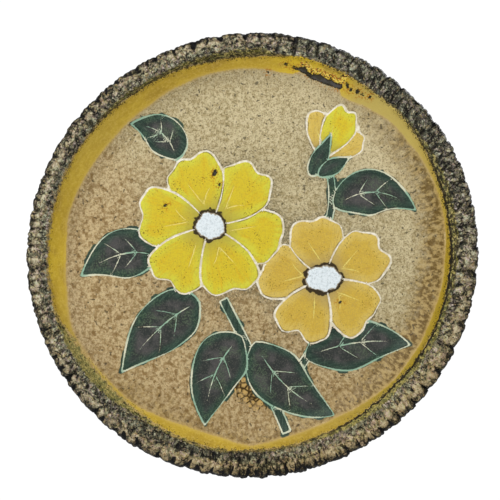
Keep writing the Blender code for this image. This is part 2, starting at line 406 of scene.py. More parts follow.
def lay_petal(colour, centre, heading, length, width, notch, seed):
    """A broad petal with a notched tip: an egg whose big end points along the heading, less a dent at its
    tip, with its edge a little unsteady. The brush runs up it and fans out from just behind its base. One
    or two folds are scratched in it from the base."""
    round_it = turns(PETAL_POINTS)
    steady = 1 + 0.035 * np.sin(3 * round_it + seed) + 0.018 * np.sin(8 * round_it + 2.3 * seed)
    cos, sin = compass(round_it).T
    out = length * (0.52 + 0.48 * cos) * steady - notch * np.exp(-(sin / 0.22) ** 2) * (cos > 0)
    side = 0.67 * width * sin * (0.58 + 0.42 * cos) ** 0.7 * steady
    axes = compass(np.radians([heading, heading + 90]))

    def stroke(points):
        ahead, aside = axes @ (points - centre).T
        return np.column_stack([ahead / length * 50, np.arctan2(aside, np.maximum(ahead, 0) + 8) * 30])

    outline = centre + np.column_stack([out, side]) @ axes
    inside = lay_glaze(colour, outline, 0, seed, (0.35, 0.95), stroke)
    for lean, far in ((0.16, 0.62), (-0.2, 0.5))[:1 + int(seed * 10) % 2]:
        fold = centre + np.array([(0.3, 0), (0.45, 0.5 * lean), (far, lean)]) * (length, width) @ axes
        scratch(arch(*fold), -1, seed, (0.3, 0.6), inside)


def both_sides(path, spread):
    """The outline that runs up one side of a path at its spread, and back down the other."""
    return np.vstack([path + spread, (path - spread)[::-1]])


def lay_leaf(base, bend, tip, width, seed, ticks=2):
    """A plain pointed leaf: its rib is a bent line, and its half width along the rib follows a half wave
    that is fullest before the middle. The rib and short side veins are scratched in it."""
    rib = arch(base, bend, tip)
    t = np.linspace(0, 1, ARCH_POINTS)
    half = 0.5 * width * np.sin(np.pi * t ** 0.75) ** 0.9 * (1 + 0.05 * np.sin(9 * t + seed))
    spread = half[:, None] * square_to(rib)
    ahead = (rib[-1] - rib[0]) / np.hypot(*(rib[-1] - rib[0]))
    axes = np.array([ahead, (-ahead[1], ahead[0])])
    inside = lay_glaze("leaf", both_sides(rib, spread), 1, seed, (0.25, 0.8),
                       lambda points: (points - rib[0]) @ axes.T)
    if ticks:
        scratch(rib[6:31], 1, seed, (0.35, 0.7), inside)
    for place in range(ticks):
        start = 12 + 8 * place
        for side in (1, -1):
            vein = arch(rib[start], rib[start + 3] + side * 0.35 * spread[start],
                        rib[start + 6] + side * 0.62 * spread[start])
            scratch(vein, 1, seed + place, (0.25, 0.45), inside)


def lay_stem(base, bend, tip, width, seed):
    """A stem: a bent line with an even half width on both sides."""
    path = arch(base, bend, tip)
    outline = both_sides(path, 0.5 * width * square_to(path))
    lay_glaze("leaf", outline, 1, seed, (0.3, 0.7), lambda points: points[:, ::-1])


def lay_button(centre, radius, stretch, seed):
    """A blossom's white middle: a circle drawn out sideways, its edge unsteady, and no scratched outline."""
    round_it = turns(BUTTON_POINTS)
    steady = radius * (1 + 0.05 * np.sin(2 * round_it + seed) + 0.03 * np.sin(5 * round_it + 2 * seed))
    outline = centre + steady[:, None] * compass(round_it) * (stretch, 1)
    lay_glaze("button", outline, 0, seed, (-2, -1.9), lambda points: points)


lay_stem((26, -134), (8, -92), (-22, -34), 6.5, 1.0)
lay_stem((18, -104), (40, -86), (50, -60), 6.0, 2.0)
lay_stem((56, 20), (66, 48), (54, 76), 5.0, 3.0)
lay_leaf((-58, 72), (-62, 98), (-92, 99), 30, 1.3)
lay_leaf((-70, -2), (-98, 10), (-130, -16), 38, 2.1)
lay_leaf((62, 36), (92, 60), (124, 34), 34, 3.2)
lay_leaf((40, -78), (82, -60), (119, -68), 38, 4.4)
for heading, length, seed in ((172, 50, 0.3), (100, 47, 1.2), (28, 52, 2.1), (316, 50, 3.3), (244, 51, 4.6)):
    lay_petal("ochre", (54, -18), heading, length, 42, 4.5, seed)
lay_button((54, -18), 10.5, 1.25, 1.0)
lay_leaf((2, -66), (20, -106), (62, -121), 40, 5.3)
lay_leaf((-8, -62), (-34, -84), (-36, -129), 40, 6.2)
lay_leaf((-40, -36), (-68, -46), (-99, -89), 42, 7.5)
for heading, length, seed in ((348, 56, 0.8), (48, 57, 1.9), (107, 56, 2.7), (170, 57, 3.9), (232, 58, 4.2),
                              (292, 56, 5.7)):
    lay_petal("lemon", (-32, 22), heading, length, 43, 4.0, seed)
lay_button((-32, 22), 10.5, 1.0, 2.0)
lay_petal("ochre", (52, 72), 88, 38, 24, 2.5, 6.1)
lay_petal("ochre", (52, 72), 34, 38, 24, 2.5, 6.8)
lay_petal("lemon", (52, 72), 61, 44, 26, 3.0, 7.4)
lay_leaf((44, 60), (50, 70), (60, 92), 13, 8.3, ticks=0)
lay_leaf((50, 60), (62, 68), (74, 74), 12, 8.9, ticks=0)


# The band and the rim's dark glaze
# A golden stripe was banded by hand round the wall, thick where the brush was full and thin where it
# ran dry, and the rim was dipped in a dark glaze that breaks to tan over the lumps. A patch at the top
# right crawled off the clay in the kiln.

# Where the stripe's outer and inner edges run: the angle from the right, and both radii in photo pixels
PHOTO_PIXEL = 0.752
CRAWL_REACH = 8.0
stripe = np.array([
    (0, 197.1, 192.6), (13, 198.3, 194.3), (22, 199.2, 194.7), (29, 200.5, 194.0), (35, 201.4, 193.0),
    (45, 202.7, 191.5), (50, 202.3, 188.5), (54, 202.0, 186.0), (58, 202.1, 182.7), (60.8, 202.3, 182.4),
    (62.4, 202.2, 188.0), (71, 202.5, 188.5), (75.5, 202.9, 189.5), (77.5, 202.3, 185.6), (82, 199.6, 185.2),
    (90, 197.8, 187.0), (103, 197.4, 186.5), (116, 198.5, 184.2), (125, 199.1, 182.2), (141, 201.6, 182.0),
    (154, 202.6, 185.2), (167, 202.9, 188.4), (180, 203.3, 186.8), (190, 203.8, 188.8), (196, 204.0, 191.4),
    (200, 201.6, 194.2), (203, 198.6, 195.0), (206, 196.7, 194.4), (212, 194.8, 193.2), (219, 194.0, 191.6),
    (228, 193.6, 190.6), (235, 194.0, 189.0), (241, 194.2, 186.5), (248, 195.1, 184.6), (254, 195.9, 184.4),
    (260, 196.4, 185.4), (265, 196.0, 188.2), (270, 194.3, 190.6), (276, 193.8, 187.2), (283, 193.4, 184.6),
    (290, 192.4, 183.2), (296, 192.0, 183.2), (305, 191.9, 184.8), (314, 191.7, 187.0), (319, 192.0, 188.2),
    (325, 193.8, 188.4), (334, 195.1, 189.2), (347, 196.3, 190.6),
])
stripe[:, 1:] *= PHOTO_PIXEL
bearing = np.degrees(np.arctan2(flat_up, flat_across)) % 360
from_middle = np.hypot(flat_across, flat_up)
rim_glaze, from_inner = (from_middle - round_plate(bearing, *stripe[:, [0, side]]) for side in (1, 2))
band = np.minimum(-rim_glaze, from_inner)


def blot(across, up, wide, high, lean=0.0):
    """How deep a corner lies in a lens-shaped blot, in millimetres: positive inside, from the blot's
    middle, its half width and half height, and how far it leans."""
    x, y = flat_across - across, flat_up - up
    cos, sin = np.cos(np.radians(lean)), np.sin(np.radians(lean))
    return (1 - np.hypot((x * cos + y * sin) / wide, (y * cos - x * sin) / high)) * min(wide, high)


# The crawled patch by its outline, and its trail of crawled dots and small burnt spots, each by its middle,
# half sizes and lean
crawl = np.array([
    (29.1, 142.8), (31.1, 142.1), (33.9, 140.9), (37.4, 141.2), (39.8, 140.9), (41.2, 138.8),
    (43.2, 137.1), (44.7, 136.0), (48.4, 136.0), (51.2, 135.7), (53.3, 134.0), (56.8, 132.1),
    (59.6, 131.9), (61.6, 130.2), (65.1, 128.7), (67.8, 128.1), (68.5, 126.3), (66.1, 124.6),
    (62.3, 126.0), (56.8, 128.1), (52.6, 129.5), (48.4, 131.2), (43.6, 133.0), (40.8, 135.4),
    (38.1, 137.1), (34.6, 138.8), (31.1, 139.9), (29.4, 141.6)])
bare = np.full(len(front_points), -FAR)
crawl_near = near(crawl, CRAWL_REACH)
crawl_sides = flat_points[crawl_near], crawl, np.roll(crawl, -1, axis=0)
bare[crawl_near] = reach(*crawl_sides)[0] * np.where(within(*crawl_sides), 1, -1)
for spot in ((25.3, 143.3, 1.6, 1.0), (71.4, 127.4, 1.3, 2.2, 24), (74.0, 124.2, 1.3, 1.3),
             (79.0, 122.5, 1.4, 1.8, -20), (82.6, 120.5, 1.5, 1.0, -35), (88.1, 118.3, 1.1, 1.1),
             (-28.5, 62.0, 1.6, 2.7, -24), (-25.0, 53.0, 1.1, 1.3), (66.5, -36.0, 1.5, 1.1, 20),
             (-66.0, 37.5, 1.7, 1.2, 10), (12.0, 138.0, 1.1, 1.1)):
    bare = np.maximum(bare, blot(*spot))
blistered = held(1 + bare / 5.5) * (from_middle > 143) * (bearing > 62) * (bearing < 76)


def on_rim(values, elsewhere):
    """A number for every corner of the front from one for each corner of the rim, and one for the rest."""
    return np.concatenate([np.full(len(front_points) - rim_points.size // 3, float(elsewhere)),
                           (values + 0 * rim_turn).ravel()])


section_share = on_rim(rim_arc / rim_arc[-1], 2)
relief = on_rim(rim_relief, 0)
patch = on_rim(patch, 0)
hollow = on_rim(hollow, NO_HOLLOW)
pooled_glaze_and_shade = on_rim(pooled_glaze_and_shade, 0)
from_edge = on_rim(inward, 19)

# How tan the dark glaze breaks, by the angle: along the thin edge, the shoulder, the crown and the stripe.
# Along the outer edge a band of painted shade lies over the dark glaze, for the shade on the rim's side
edge_tan_and_shade = round_plate(
    bearing, (0, -0.12), (20, -0.16), (45, -0.12), (75, -0.04), (95, 0.04), (130, 0.06), (165, 0.08),
    (195, 0.14), (225, 0.06), (250, -0.1), (275, -0.32), (315, -0.14), (345, 0.02))
tan_shoulder = round_plate(
    bearing, (0, 0.16), (20, 0.12), (40, -0.08), (60, -0.12), (80, -0.16), (95, 0.04), (110, 0.02),
    (130, -0.12), (150, 0.04), (170, 0.1), (190, 0.07), (215, -0.04), (235, -0.08), (252, -0.08),
    (270, -0.5), (285, -0.38), (300, -0.16), (318, -0.06), (332, 0.1), (345, 0.13))
tan_crown = round_plate(
    bearing, (0, 0.2), (20, 0.04), (35, -0.12), (55, 0.02), (75, 0.14), (95, 0.2), (110, 0.22),
    (130, 0.1), (150, 0.24), (168, 0.46), (185, 0.3), (205, 0.2), (225, 0.1), (240, 0.25), (255, 0.32),
    (270, -0.06), (285, 0.06), (302, 0.34), (318, 0.36), (335, 0.26), (350, 0.24))
tan_inside = round_plate(
    bearing, (0, 0.06), (15, 0.04), (45, -0.02), (60, -0.04), (75, 0.1), (100, 0.26), (122, 0.2),
    (142, -0.03), (150, -0.06), (162, 0.16), (180, 0.2), (200, 0.14), (222, 0.03), (238, -0.04),
    (252, -0.2), (270, -0.15), (285, 0.14), (300, 0.2), (320, 0.24), (335, 0.1), (348, 0.12))
by_crown = held((from_edge - 5) / 3)
by_stripe = held((from_edge - 10) / 3)
tan = 0.2 + tan_shoulder + (tan_crown - tan_shoulder) * by_crown + (tan_inside - tan_crown) * by_stripe
# Painted shade: a dark band along the outer edge, over the dark glaze there, stands for the shade on the
# rim's side
tan += (edge_tan_and_shade - 0.42) * np.exp(-np.maximum(from_edge, 0) ** 2 / 2.6)

# Where the dark glaze lay thick and still it has less grain
calm = round_plate(
    bearing, (0, 0.1), (20, 0.22), (42, 0.48), (72, 0.42), (88, 0.05), (95, 0.15), (135, 0.22),
    (200, 0.22), (225, 0.15), (300, 0.1), (330, 0.16), (350, 0.05))
calm += by_stripe * round_plate(
    bearing, (0, 0.05), (140, 0.1), (190, 0.1), (215, 0.35), (300, 0.4), (330, 0.2))

# The olive strip between the rim and the stripe, by its width in photo pixels
strip = PHOTO_PIXEL * round_plate(
    bearing, (0, 7), (20, 7.5), (30, 5), (40, 3), (48, 1.2), (55, -2), (80, -2), (84, 3), (88, 7),
    (95, 7), (105, 5), (115, 3.5), (135, 3), (141, -1), (195, -1), (200, 4), (206, 8), (212, 9.5),
    (220, 9.5), (228, 6), (235, 3.5), (245, 2), (270, 1), (285, 1.5), (300, 5), (310, 6), (320, 5),
    (345, 5), (355, 6)) - rim_glaze

# How dark that strip is, how many dark specks spilled over the stripe's edge, how strong the thin dark
# line is beside it, how deep, pale or bright the stripe is, and how warm the dark glaze
by_angle = {
    "murk": (
        (0, 0.6), (20, 0.5), (38, 0.5), (80, 0.45), (92, 0.5), (110, 0.5), (135, 0.4), (198, 0.35),
        (206, 0.12), (222, 0.1), (240, 0.3), (262, 0.5), (280, 0.4), (300, 0.25), (320, 0.2), (340, 0.35)),
    "spilled": (
        (0, 0.55), (30, 0.6), (45, 0.6), (60, 0.75), (80, 0.4), (95, 0.45), (120, 0.42), (140, 0.45),
        (160, 0.18), (180, 0.12), (198, 0.12), (212, 0), (240, 0), (258, 0.2), (275, 0.25), (290, 0.15),
        (305, 0.25), (320, 0.5), (340, 0.6)),
    "thin_line": (
        (0, 0.95), (20, 0.85), (40, 0.35), (52, 0), (80, 0), (92, 0.4), (138, 0.4), (146, 0), (250, 0),
        (266, 0.5), (288, 0.4), (300, 0.95), (345, 0.95)),
    "deep_band": (
        (0, 0.9), (18, 0.6), (32, 0.2), (45, 0), (198, 0), (206, 0.5), (216, 0.5), (230, 0.1), (262, 0),
        (275, 0.25), (290, 0.3), (300, 0.6), (315, 1.3), (330, 1)),
    "pale_band": (
        (8, 0), (15, 0.3), (24, 0.3), (36, 0.9), (50, 1), (58, 0.7), (65, 0.2), (85, 0), (130, 0),
        (140, 0.25), (165, 0.1), (175, -0.1), (190, 0), (207, 0.15), (220, 0.3), (230, 0.1)),
    "bright_band": (
        (56, 0), (62, 1), (78, 1), (86, 0.3), (120, 0.2), (150, 0.25), (172, 0.3), (182, 0.6),
        (194, 0.2), (200, 0), (235, 0.2), (262, 0.2), (275, 0)),
}
warmth = round_plate(
    bearing, (0, 0.35), (20, 0.1), (70, 0.1), (95, 0.5), (225, 0.45), (250, 0.8), (270, 1), (330, 0.9))
warmth *= 1 - 0.55 * by_stripe

# How coarse and brown the speckled ground is, and below nothing how much paler it is painted towards the
# top right, for more light there; how brown it runs under the stripe, where it pools in amber between the
# leaves, and how darkly it is speckled between the petals
coarse = np.clip(0.5 - (0.75 * flat_across + 0.9 * flat_up) / 170, -0.5, 1)
under_band = held(1 + from_inner / 26) ** 0.8 * (from_inner < 0)
under_band *= round_plate(
    bearing, (0, 1), (15, 0.9), (30, 0.7), (45, 0.48), (60, 0.32), (75, 0.18), (100, 0.25), (130, 0.25),
    (180, 0.1), (200, 0.08), (225, 0.5), (250, 0.5), (280, 0.5), (300, 0.62), (315, 0.88), (330, 1.05),
    (345, 1.05))
amber = held(1.3 - np.hypot(flat_across - 8, flat_up + 96) / 24) * (depth["leaf"] < 0)
painted = np.maximum.reduce([depth["lemon"], depth["ochre"], depth["leaf"]])
between = np.exp(-np.maximum(-painted - 1, 0) / 5.5) * held(1.25 - np.hypot(flat_across - 6, flat_up) / 92)


# The back and the foot
# The underside is the bare clay, turned smooth, with a foot ring that the plate hangs flat by. Two holes
# are drilled through the ring near its top for a hanging wire.

ROUND_BACK = ROUND_WALL // 2
FOOT_RADIUS = 102.0
FOOT_WIDTH = 10.0
FOOT_HEIGHT = 8.5
FOOT_EDGE = 1.0
HOLE_RADIUS = 2.1
HOLE_HEIGHT = 4.25
HOLE_CELLS = 4
HOLE_SIDES = 4 * HOLE_CELLS
BACK_CURVE = 1.3
BACK_SHARES = (0.3, 0.6, 0.85, 1.0)
SWEEP_RADIUS = 150
FINE_RING_TO_NEXT = 8.5
EDGE_TO_FINE_RING = 7.5
FRONT_MAP = (0.44, 0.436)
BACK_MAP = (0.857, 0.138)
HOLE_ON_MAP = 0.008


def back_ring(share, count):
    """A ring of the underside, from the rim's back edge at share 0 to the flat back at share 1: its height
    falls by what is left of the way, raised to the back's curve."""
    start = RIM_WIDTH * rim_knots[0, 0]
    height = FOOT_HEIGHT + (RIM_BACK_HEIGHT - FOOT_HEIGHT) * (1 - share) ** BACK_CURVE
    inset = start + (RIM_WIDTH + WALL_WIDTH - start) * share
    return ring(turns(count), inset, height, notch=0.5 * (1 - share) ** 2)


inner_foot = FOOT_RADIUS - FOOT_WIDTH
disc_radius = inner_foot - 10
hole_rows = HOLE_HEIGHT + np.linspace(3.25, -3.25, HOLE_CELLS + 1)
foot_section = ([(FOOT_RADIUS + 4, FOOT_HEIGHT), (FOOT_RADIUS + 0.6, FOOT_HEIGHT)]
                + [(FOOT_RADIUS, height) for height in hole_rows]
                + [(FOOT_RADIUS - 0.3, 0.3), (FOOT_RADIUS - FOOT_EDGE, 0), (inner_foot + FOOT_EDGE, 0),
                   (inner_foot + 0.3, 0.3)]
                + [(inner_foot, height) for height in hole_rows[::-1]]
                + [(inner_foot - 0.6, FOOT_HEIGHT), (inner_foot - 4, FOOT_HEIGHT)])
back_disc, back_share, back_turn, back_corner, back_edge = disc(
    ROUND_BACK // 8, lambda turn: placed(disc_radius, turn, FOOT_HEIGHT))

# The corners of the whole plate in one list, and where each run of rings starts in it
wall_start = floor_corner.size
rim_start = wall_start + wall_points.size // 3
under_fine_start = rim_start + rim_points.size // 3
under_points = np.vstack([back_ring(share, ROUND_BACK) for share in BACK_SHARES]
                         + [placed(radius, turns(ROUND_BACK), height) for radius, height in foot_section])
under_fine = back_ring(0.12, ROUND_WALL)
under_start = under_fine_start + len(under_fine)
disc_start = under_start + len(under_points)
hole_start = disc_start + back_corner.size
corners = np.vstack([front_points, under_fine, under_points, back_disc.reshape(-1, 3)])


def join(first, second):
    """Four-sided faces between two closed loops of corners."""
    return np.stack([first, np.roll(first, -1), np.roll(second, -1), second], axis=-1)


def halve(fine, coarse):
    """Three-sided faces between a closed loop and one of half as many corners, three to a coarse step."""
    here, middle, after = fine[0::2], fine[1::2], np.roll(fine[0::2], -1)
    onward = np.roll(coarse, -1)
    return np.vstack([np.stack(three, axis=-1) for three in (
        (here, middle, coarse), (middle, onward, coarse), (middle, after, onward))])


def between_all(loops):
    """Four-sided faces between each closed loop in a row and the next."""
    return [join(*pair) for pair in zip(loops[:-1], loops[1:])]


def squares(corner):
    """Four-sided faces of a grid of corners."""
    four = corner[:-1, :-1], corner[1:, :-1], corner[1:, 1:], corner[:-1, 1:]
    return np.stack(four, axis=-1).reshape(-1, 4)


wall_loops = wall_start + np.arange(wall_points.size // 3).reshape(-1, ROUND_WALL)
rim_loops = rim_start + np.arange(rim_points.size // 3).reshape(-1, ROUND_RIM)
fine_loop = under_fine_start + np.arange(ROUND_WALL)
under_loops = under_start + np.arange(len(under_points)).reshape(-1, ROUND_BACK)
disc_loop = disc_start + back_edge

front_quads = np.vstack([squares(floor_corner), join(wall_loops[-1], floor_edge),
                         *between_all(wall_loops), *between_all(rim_loops)])
front_triangles = halve(rim_loops[-1], wall_loops[0])

# The wire holes: a block of faces is left out of the foot ring's outer and inner walls, and rings of
# corners carry the block's square edge to a circle and the circle through the ring
first_outer = len(BACK_SHARES) + 2
first_inner = first_outer + HOLE_CELLS + 5
hole_columns = [round(np.radians(angle) / (2 * np.pi) * ROUND_BACK) for angle in (78, 102)]
kept = np.ones((len(under_loops) - 1, ROUND_BACK), dtype=bool)
hole_quads = []
hole_corners = []
for column in hole_columns:
    left = column - HOLE_CELLS // 2
    square = []
    for first in (first_outer, first_inner):
        kept[first:first + HOLE_CELLS, left:left + HOLE_CELLS] = False
        block = under_loops[first:first + HOLE_CELLS + 1, left:left + HOLE_CELLS + 1]
        block = block if first == first_outer else block[::-1]
        square.append(np.concatenate([block[0, :-1], block[:-1, -1], block[-1, :0:-1], block[:0:-1, 0]]))
    middle = turns(ROUND_BACK)[column]
    edge = corners[square[0]]
    sideways = (np.arctan2(edge[:, 2], edge[:, 0]) - middle) * FOOT_RADIUS
    upright = -edge[:, 1] - HOLE_HEIGHT
    shrink = HOLE_RADIUS / np.hypot(sideways, upright)
    loops = [square[0]]
    for radius in (FOOT_RADIUS, FOOT_RADIUS - FOOT_WIDTH / 2, inner_foot):
        loops.append(hole_start + HOLE_SIDES * len(hole_corners) + np.arange(HOLE_SIDES))
        hole_corners.append(placed(radius, middle + sideways * shrink / radius,
                                   HOLE_HEIGHT + upright * shrink))
    loops.append(square[1])
    hole_quads += between_all(loops)
corners = np.vstack([corners] + hole_corners)

under_quads = np.stack(between_all(under_loops))[kept]
back_quads = np.vstack([under_quads, *hole_quads, squares(disc_start + back_corner)])[:, ::-1]
back_triangles = np.vstack([halve(rim_loops[0], fine_loop), halve(fine_loop, under_loops[0]),
                            halve(under_loops[-1], disc_loop)])[:, ::-1]

# A map for laying the surface out flat: the front as one disc and the back as a smaller one, each by its
# middle and radius on the map, with each ring as far from the middle as it is along the surface
wall_drops = np.diff(WALL_RISE * (1 - np.arange(WALL_RINGS + 1) / WALL_RINGS) ** WALL_CURVE)
wall_arc = np.cumsum(np.hypot(WALL_WIDTH / WALL_RINGS, wall_drops))
floor_reach = PLATE_RADIUS - RIM_WIDTH - WALL_WIDTH
wall_reach = floor_reach + wall_arc[-1] - np.concatenate([[0], wall_arc])[1:-1]
rim_reach = floor_reach + wall_arc[-1] + rim_arc[-1, 0] - rim_arc[:, 0]
front_reach = np.concatenate([floor_reach * floor_share.ravel(), np.repeat(wall_reach, ROUND_WALL),
                              np.repeat(rim_reach, ROUND_RIM)]) / rim_reach[0]
front_turn = np.concatenate([floor_turn.ravel(), wall_turn.ravel(), rim_turn.ravel()])
sweep = np.column_stack([SWEEP_RADIUS * compass(front_turn), front_reach * rim_reach[0]])
front_map = FRONT_MAP[0] + FRONT_MAP[1] * front_reach[:, None] * compass(front_turn)

under_radius = np.hypot(under_points[::ROUND_BACK, 0], under_points[::ROUND_BACK, 2])
under_steps = np.hypot(np.diff(under_radius), np.diff(under_points[::ROUND_BACK, 1]))
under_reach = inner_foot - 4 + np.concatenate([[0], np.cumsum(under_steps[::-1])])[::-1]
fine_reach = under_reach[0] + FINE_RING_TO_NEXT
edge_reach = fine_reach + EDGE_TO_FINE_RING
back_reach = np.concatenate([[edge_reach, fine_reach], under_reach]) / edge_reach
back_map = np.zeros((len(corners), 2))
for loop, share in zip([rim_loops[0], fine_loop, *under_loops], back_reach):
    back_map[loop] = share * compass(np.pi - turns(len(loop)))
disc_reach = disc_radius / edge_reach * back_share.ravel()[:, None]
back_map[disc_start:hole_start] = disc_reach * compass(np.pi - back_turn.ravel())
for number, column in enumerate(hole_columns):
    for place, first in enumerate((first_outer, (first_outer + first_inner) // 2, first_inner)):
        loop = hole_start + HOLE_SIDES * (3 * number + place) + np.arange(HOLE_SIDES)
        back_map[loop] = back_map[under_loops[first + 2, column]] + HOLE_ON_MAP * compass(turns(HOLE_SIDES))
back_map = BACK_MAP[0] + BACK_MAP[1] * back_map


# The mesh
# The corners and faces of the whole plate are put into one closed mesh, with the depths and distances as
# numbers on its corners. The scratched lines lie in shallow troughs, and the thick glazes stand up.

swell = 0.16 * np.clip(np.maximum(depth["lemon"], depth["ochre"]) - 0.6, 0, 1.2)
swell += 0.10 * held(depth["leaf"]) + 0.22 * held(depth["button"]) + 0.10 * held(band) - 0.22 * held(bare)
swell -= 0.34 * held((line_half - line) / 0.8 + 0.35)
corners[:len(front_points), 1] -= swell
glazed = held((section_share - 0.08) / 0.1)
from_foot_middle = np.abs(np.hypot(corners[:, 0], corners[:, 2]) - (FOOT_RADIUS - FOOT_WIDTH / 2))
foot_rub = (from_foot_middle < 4.8) & (corners[:, 1] > -1.2)
foot_rub[:len(front_points)] = False
corners = corners * 0.001 - np.array([0, 0, PLATE_MIDDLE_BELOW_ORIGIN * 0.001])

quads = np.vstack([front_quads, back_quads])
triangles = np.vstack([front_triangles, back_triangles])
face_corners = np.concatenate([quads.ravel(), triangles.ravel()])
used, face_corners = np.unique(face_corners, return_inverse=True)
mesh = bpy.data.meshes.new("stoneware_plate")
mesh.vertices.add(len(used))
mesh.vertices.foreach_set("co", corners[used].ravel())
mesh.loops.add(len(face_corners))
mesh.loops.foreach_set("vertex_index", face_corners.astype(np.int32))
mesh.polygons.add(len(quads) + len(triangles))
starts = np.concatenate([np.arange(len(quads)) * 4, len(quads) * 4 + np.arange(len(triangles)) * 3])
mesh.polygons.foreach_set("loop_start", starts.astype(np.int32))
mesh.update(calc_edges=True)
mesh.polygons.foreach_set("use_smooth", np.ones(len(mesh.polygons), dtype=bool))

whole_front_map = np.zeros((len(corners), 2))
whole_front_map[:len(front_points)] = front_map
is_front = np.concatenate([np.repeat([True, False], [len(front_quads) * 4, len(back_quads) * 4]),
                           np.repeat([True, False], [len(front_triangles) * 3, len(back_triangles) * 3])])
original = used[face_corners]
flat_map = np.where(is_front[:, None], whole_front_map[original], back_map[original])
mesh.uv_layers.new(name="OFBake").data.foreach_set("uv", flat_map.ravel())


def tell(name, values, back_value):
    """Writes a number, or three, on each corner of the mesh; the back's corners all take the same one."""
    values = np.asarray(values, dtype=float)
    whole = np.full((len(corners),) + values.shape[1:], float(back_value))
    whole[:len(values)] = values
    if values.ndim == 1:
        mesh.attributes.new(name, "FLOAT", "POINT").data.foreach_set("value", whole[used])
    else:
        mesh.attributes.new(name, "FLOAT_VECTOR", "POINT").data.foreach_set("vector", whole[used].ravel())


for back_value, numbers in (
        (-FAR, dict(depth, band=band, strip=strip, bare=bare)),
        (FAR, dict(from_inner=from_inner, rim_glaze=rim_glaze)),
        (NO_LINE, dict(line=line, line_side=line_side)),
        (NO_HOLLOW, dict(hollow=hollow)),
        (0, {name: round_plate(bearing, *stops) for name, stops in by_angle.items()}),
        (0, dict(line_half=line_half, line_tone=line_tone, brush=brush, sweep=sweep, relief=relief, calm=calm,
                 patch=patch, pooled_glaze_and_shade=pooled_glaze_and_shade, tan=tan, coarse=coarse, under_band=under_band, amber=amber,
                 between=between, warmth=warmth, blistered=blistered, glazed=glazed, foot_rub=foot_rub))):
    for name, values in numbers.items():
        tell(name, values, back_value)

plate = bpy.data.objects.new("stoneware_plate", mesh)
bpy.context.scene.collection.objects.link(plate)


# The fired glazes
# Beige ground glaze speckled with iron, golden and lemon glazes, a dark green and a dull grey-violet on
# the leaves, tin white in the blossoms' middles, a black glaze that breaks to tan on the rim, and the
# bare buff clay behind.

glazes = bpy.data.materials.new("fired_glazes")
glazes.use_nodes = True
glazes.node_tree.nodes.clear()


class Amount:
    """What a step of a recipe gives: a number, colour or place. Numbers add up, take away and multiply."""

    def __init__(self, socket):
        self.socket = socket

    def __add__(self, other):
        return step("Math", {"operation": "ADD"}, i0=self, i1=other)

    def __sub__(self, other):
        return step("Math", {"operation": "SUBTRACT"}, i0=self, i1=other)

    def __rsub__(self, other):
        return step("Math", {"operation": "SUBTRACT"}, i0=other, i1=self)

    def __mul__(self, other):
        return step("Math", {"operation": "MULTIPLY"}, i0=self, i1=other)

    __radd__ = __add__
    __rmul__ = __mul__


def step(kind, settings, give=0, tree=glazes.node_tree, **wires):
    """Adds one step to a recipe and gives one of its results. Settings are its choices, and each wire is
    what a socket gets: a value, or another step's result. A socket goes by its name, with _ for a space,
    or by i and its number."""
    made = tree.nodes.new("ShaderNode" + kind)
    for name, value in settings.items():
        setattr(made, name, value)
    for name, source in wires.items():
        socket = made.inputs[int(name[1:]) if name[1:].isdigit() else name.replace("_", " ")]
        if isinstance(source, Amount):
            tree.links.new(source.socket, socket)
        else:
            socket.default_value = source
    return Amount(made.outputs[give]) if made.outputs else made


def larger(first, second):
    """The larger of two numbers."""
    return step("Math", {"operation": "MAXIMUM"}, i0=first, i1=second)


def known(name, give="Fac"):
    """A number, or with "Vector" three, that was written on the mesh's corners."""
    return step("Attribute", {"attribute_name": name}, give)


def fade(value, low, high):
    """Nothing at the low value, all at the high one, and a smooth step between. Low may be the higher. A
    glaze's edge is a fade of its depth near 0, made ragged by grain."""
    return step("MapRange", {"interpolation_type": "SMOOTHSTEP"}, i0=value, i1=low, i2=high)


ROOM_SHEEN = 0.006


def fired(colour):
    """A glaze's colour as the eye sees it, in steps of 255, turned into amounts of light, less the sheen
    that the white room lays over every glaze. Anything but three steps is left as it is."""
    if isinstance(colour, Amount) or len(colour) != 3:
        return colour
    shares = np.array(colour) / 255
    light = np.where(shares <= 0.04045, shares / 12.92, ((shares + 0.055) / 1.055) ** 2.4)
    return (*np.maximum(light - ROOM_SHEEN, 0.002), 1.0)


def mixed(share, first, second, how="MIX"):
    """The first colour turning into the second, or multiplied by it, as the share goes from 0 to 1."""
    settings = {"data_type": "RGBA", "blend_type": how}
    return step("Mix", settings, 2, i0=share, i6=fired(first), i7=fired(second))


def layered(under, *layers):
    """A colour with others laid over it in turn, each by its share."""
    for share, colour in layers:
        under = mixed(share, under, colour)
    return under


in_metres = step("TexCoord", {}, "Object")
swept = known("sweep", "Vector")


def cloud(size, seed=0, detail=2, roughness=0.5, stretch=(1, 1, 1), source=in_metres):
    """Cloudy noise from 0 to 1 whose patches are about a size across, in millimetres. The seed moves it
    elsewhere: its tens and its ones are metres along two axes."""
    place = step("Mapping", {}, Vector=source, Location=(seed // 10, seed % 10, 0), Scale=stretch)
    return step("TexNoise", {}, "Fac", Vector=place, Scale=1000 / size, Detail=detail, Roughness=roughness)


def swirl(size, seed, detail=2, roughness=0.5, along=1, out=1):
    """Cloudy noise that follows the round of the plate, finer or longer along it and out from its middle."""
    return cloud(size * 1000, seed, detail, roughness, (along, along, out), swept)


def cells(source, scale):
    """How far each place is from the borders of cells of random shape."""
    return step("TexVoronoi", {"feature": "DISTANCE_TO_EDGE"}, "Distance", Vector=source, Scale=scale)


